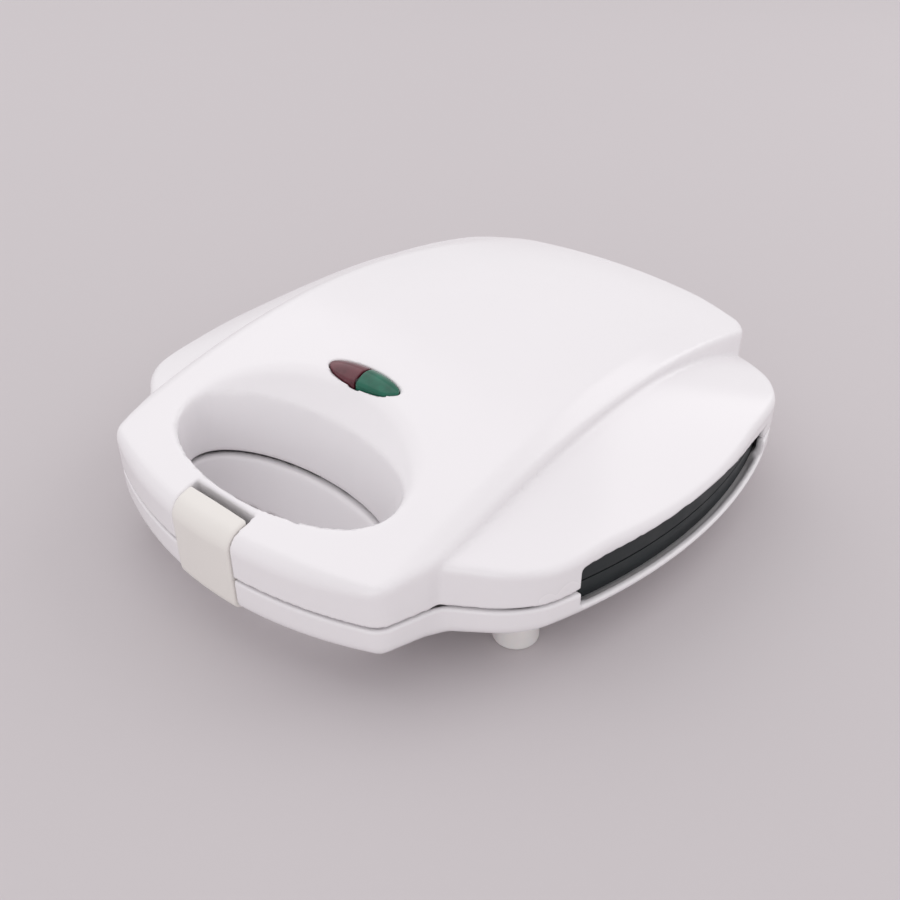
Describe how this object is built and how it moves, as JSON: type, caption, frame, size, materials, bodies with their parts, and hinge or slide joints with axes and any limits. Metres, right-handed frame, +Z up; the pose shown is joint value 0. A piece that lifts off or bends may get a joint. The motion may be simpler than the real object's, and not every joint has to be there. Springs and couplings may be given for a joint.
{
  "type": "donut maker",
  "caption": "Hinged clamshell electric donut maker with crowned lid, finger hole in the handle, front latch, indicator lamps and ring-shaped moulds.",
  "frame": {"origin": "centre of the outer box, on the surface that the four feet stand on", "axes": "+X to the user's right, +Y from the handle to the hinge, +Z up"},
  "size_m": [0.2252, 0.2474, 0.069],
  "materials": {
    "white_shell": "glossy moulded plastic, cool white",
    "latch_plastic": "moulded plastic, slightly creamier and less glossy than the shells",
    "lens_red": "clear red acrylic, dark when unlit",
    "lens_green": "clear green acrylic, dark when unlit",
    "nonstick_plate": "die-cast aluminium with a dark grey non-stick coating",
    "heater_steel": "sheathed tubular heater, heat-darkened",
    "spring_steel": "pressed steel strip",
    "reflector_aluminium": "thin bright aluminium sheet",
    "pin_steel": "drawn steel pin",
    "screw_zinc": "zinc-plated steel",
    "foot_plastic": "moulded white plastic",
    "thermostat_steel": "plated steel case",
    "fuse_case": "plated brass case",
    "terminal_ceramic": "unglazed steatite",
    "wire_sleeve": "glass-fibre sleeving",
    "inlet_rubber": "black rubber",
    "clamp_nylon": "natural nylon",
    "holder_plastic": "heat-resistant black plastic",
    "lamp_glass": "small clear glass neon lamp"
  },
  "bodies": {
    "base": {"lower_housing": "white_shell", "lower_cooking_plate": "nonstick_plate", "lower_heating_element": "heater_steel", "lower_heater_bars": "spring_steel", "lower_heater_bar_screws": "screw_zinc", "lower_reflector": "reflector_aluminium", "lower_reflector_screws": "screw_zinc", "lower_plate_screws": "screw_zinc", "thermostat": "thermostat_steel", "thermal_fuse": "fuse_case", "terminal_block": "terminal_ceramic", "terminal_screws": "screw_zinc", "base_wiring": "wire_sleeve", "cord_inlet_bush": "inlet_rubber", "cord_clamp": "clamp_nylon", "cord_clamp_screws": "screw_zinc", "foot_screws": "screw_zinc", "foot_front_left": "foot_plastic", "foot_front_right": "foot_plastic", "foot_rear_left": "foot_plastic", "foot_rear_right": "foot_plastic", "hinge_pin_left": "pin_steel", "hinge_pin_right": "pin_steel"},
    "lid": {"upper_housing": "white_shell", "upper_cooking_plate": "nonstick_plate", "upper_heating_element": "heater_steel", "upper_heater_bars": "spring_steel", "upper_heater_bar_screws": "screw_zinc", "upper_reflector": "reflector_aluminium", "upper_reflector_screws": "screw_zinc", "upper_plate_screws": "screw_zinc", "lamp_holder": "holder_plastic", "lamp_holder_screws": "screw_zinc", "red_lens": "lens_red", "green_lens": "lens_green", "red_lamp": "lamp_glass", "green_lamp": "lamp_glass", "latch_pin": "pin_steel"},
    "latch": {"latch": "latch_plastic"}
  },
  "joints": [
    {"name": "lid_hinge", "type": "hinge", "parent": "base", "child": "lid", "pos_m": [0, 0.1197, 0.028], "axis": [-1, 0, 0], "range_deg": [0, 100]},
    {"name": "latch_pivot", "type": "hinge", "parent": "lid", "child": "latch", "pos_m": [0, -0.1163, 0.0366], "axis": [-1, 0, 0], "range_deg": [0, 18]}
  ]
}
